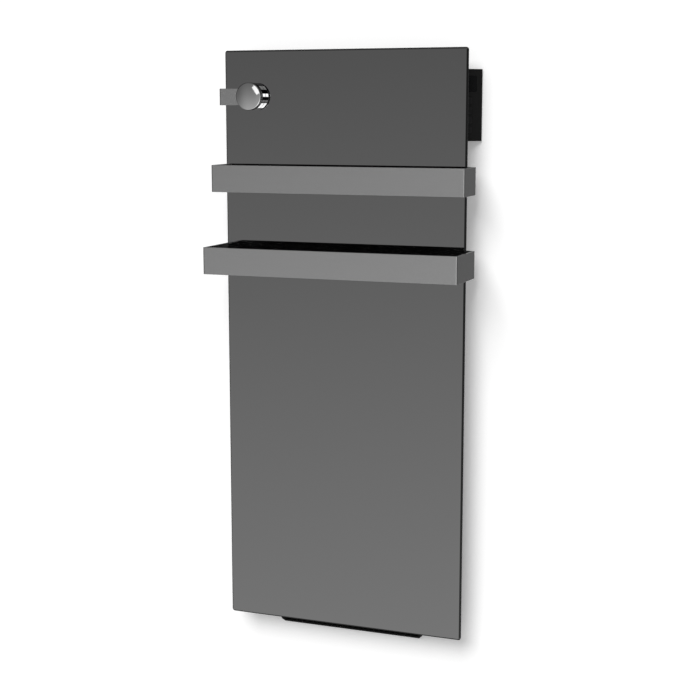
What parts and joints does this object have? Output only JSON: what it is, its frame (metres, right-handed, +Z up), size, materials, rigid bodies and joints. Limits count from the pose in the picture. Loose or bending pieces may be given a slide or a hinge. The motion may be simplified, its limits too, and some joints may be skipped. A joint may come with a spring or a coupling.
{
  "type": "heated towel rail",
  "caption": "Wall-hung electric towel radiator: tall tinted mirror glass panel, wrap-round flat towel bars, robe hook, side control box and fan outlet at its foot.",
  "frame": {"origin": "centre of the four wall bolts, on the wall plane", "axes": "+Y into the wall, +Z up, +X to the right for someone facing the glass"},
  "size_m": [0.524, 0.1522, 1.1877],
  "materials": {
    "tinted_mirror_glass": "grey tinted toughened glass, mirror coated on its back, polished edges",
    "satin_aluminium": "flat bar, satin anodised, fine brushed grain along its length",
    "polished_chrome": "turned zinc, polished and chromed",
    "black_moulding": "black flame-retardant polycarbonate, fine spark-eroded texture",
    "black_buttons": "black polycarbonate, slightly smoother than the housing",
    "smoked_window": "smoked acrylic, polished",
    "coated_steel": "black powder coat, fine orange peel",
    "galvanised_steel": "hot-dip galvanised sheet with a faint spangle",
    "plated_screw": "bright zinc plate",
    "carbon_film": "printed carbon film in clear polyester",
    "plain_aluminium": "mill finish sheet",
    "mineral_wool": "pressed mineral wool board",
    "foam_tape": "closed-cell adhesive foam",
    "clear_silicone": "translucent silicone",
    "black_rubber": "moulded nitrile rubber",
    "steatite": "unglazed ceramic and heat-proof resin",
    "white_nylon": "natural nylon",
    "circuit_board": "green solder mask on glass-epoxy board"
  },
  "bodies": {
    "radiator": {"front_glass": "tinted_mirror_glass", "bond_tape": "foam_tape", "heating_film": "carbon_film", "heat_spreader": "plain_aluminium", "insulation_panel": "mineral_wool", "film_thermostat": "steatite", "chassis_tray": "coated_steel", "upper_towel_bar": "satin_aluminium", "lower_towel_bar": "satin_aluminium", "strap_screws": "plated_screw", "hook_strap": "satin_aluminium", "hook_pad": "clear_silicone", "hook_screw": "plated_screw", "hook_knob": "polished_chrome", "rear_cover": "black_moulding", "front_pan": "galvanised_steel", "front_pan_screws": "plated_screw", "tray_fixing_screws": "plated_screw", "blower_casing": "galvanised_steel", "blower_tongue": "galvanised_steel", "blower_motor": "coated_steel", "rotor_bearing": "black_rubber", "heater_frame": "steatite", "heater_block": "plain_aluminium", "thermal_cutout": "steatite", "outlet_grille": "black_moulding", "power_switch": "black_moulding", "terminal_block": "white_nylon", "cable_gland": "black_moulding", "wiring_duct": "black_moulding", "control_housing": "black_moulding", "control_fascia": "black_moulding", "display_window": "smoked_window", "display_module": "smoked_window", "control_board": "circuit_board", "board_posts": "white_nylon", "tact_switches": "black_buttons", "hanger_channel_left": "galvanised_steel", "hanger_channel_right": "galvanised_steel", "wall_bracket": "coated_steel", "catch_rivets": "plated_screw", "wall_bumpers": "black_rubber"},
    "rotor": {"blower_rotor": "plain_aluminium"},
    "rocker": {"power_rocker": "black_buttons"},
    "filter": {"dust_filter": "black_moulding"},
    "plus_button": {"button_plus": "black_buttons"},
    "minus_button": {"button_minus": "black_buttons"},
    "fan_button": {"button_fan": "black_buttons"},
    "standby_button": {"button_standby": "black_buttons"},
    "left_catch": {"lock_catch_left": "plated_screw"},
    "right_catch": {"lock_catch_right": "plated_screw"}
  },
  "joints": [
    {"name": "rotor_spin", "type": "hinge", "parent": "radiator", "child": "rotor", "pos_m": [0.008, -0.03, -0.49], "axis": [1, 0, 0], "continuous": true},
    {"name": "rocker_tilt", "type": "hinge", "parent": "radiator", "child": "rocker", "pos_m": [0.1505, -0.02, -0.378], "axis": [0, 1, 0], "range_deg": [0, 16]},
    {"name": "filter_slide", "type": "slide", "parent": "radiator", "child": "filter", "axis": [-1, 0, 0], "range_m": [0, 0.2]},
    {"name": "left_catch_turn", "type": "hinge", "parent": "radiator", "child": "left_catch", "pos_m": [-0.125, -0.00935, 0.214], "axis": [0, -1, 0], "range_deg": [0, 90]},
    {"name": "right_catch_turn", "type": "hinge", "parent": "radiator", "child": "right_catch", "pos_m": [0.125, -0.00935, 0.214], "axis": [0, 1, 0], "range_deg": [0, 90]},
    {"name": "plus_press", "type": "slide", "parent": "radiator", "child": "plus_button", "axis": [-0.7071, 0.7071, 0], "range_m": [0, 0.001], "stiffness_N_per_m": 1500, "springref_m": -0.0004},
    {"name": "minus_press", "type": "slide", "parent": "radiator", "child": "minus_button", "axis": [-0.7071, 0.7071, 0], "range_m": [0, 0.001], "stiffness_N_per_m": 1500, "springref_m": -0.0004},
    {"name": "fan_press", "type": "slide", "parent": "radiator", "child": "fan_button", "axis": [-0.7071, 0.7071, 0], "range_m": [0, 0.001], "stiffness_N_per_m": 1500, "springref_m": -0.0004},
    {"name": "standby_press", "type": "slide", "parent": "radiator", "child": "standby_button", "axis": [-0.7071, 0.7071, 0], "range_m": [0, 0.001], "stiffness_N_per_m": 1500, "springref_m": -0.0004}
  ]
}
